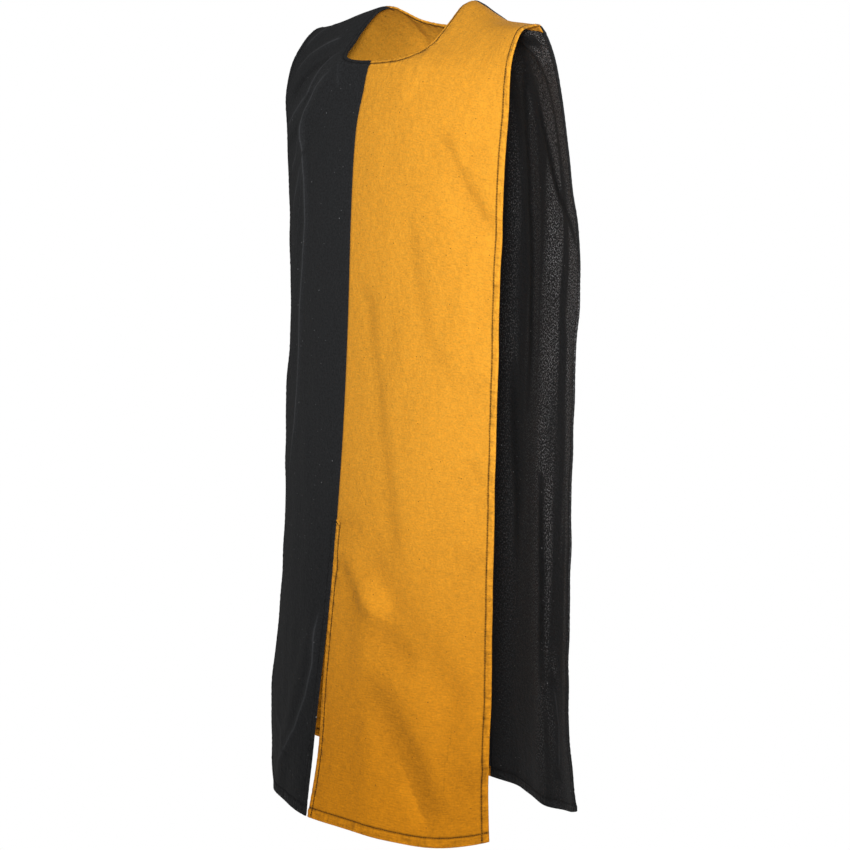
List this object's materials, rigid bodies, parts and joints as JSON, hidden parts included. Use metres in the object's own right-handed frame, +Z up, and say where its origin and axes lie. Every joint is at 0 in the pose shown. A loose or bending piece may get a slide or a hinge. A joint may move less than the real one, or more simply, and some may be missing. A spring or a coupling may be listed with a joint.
{
  "type": "tabard",
  "caption": "Quartered gold and black cotton tabard, open at both sides, with a round neck and a slit at the centre front hem.",
  "frame": {"origin": "middle of the shoulder ridge, level with the neck end of the shoulder seams, where the wearer's shoulders hold the tabard up", "axes": "+Z up, the wearer faces -Y, and +X is the wearer's left"},
  "size_m": [0.5037, 0.307, 1.0344],
  "materials": {
    "gold_cotton": "matt plain-weave cotton with slubs and dark topstitching",
    "black_cotton": "matt plain-weave cotton with a few pale lint specks"
  },
  "bodies": {
    "root": {"front_right": "black_cotton", "front_left": "gold_cotton", "back_right": "gold_cotton", "back_left": "black_cotton"}
  },
  "joints": []
}
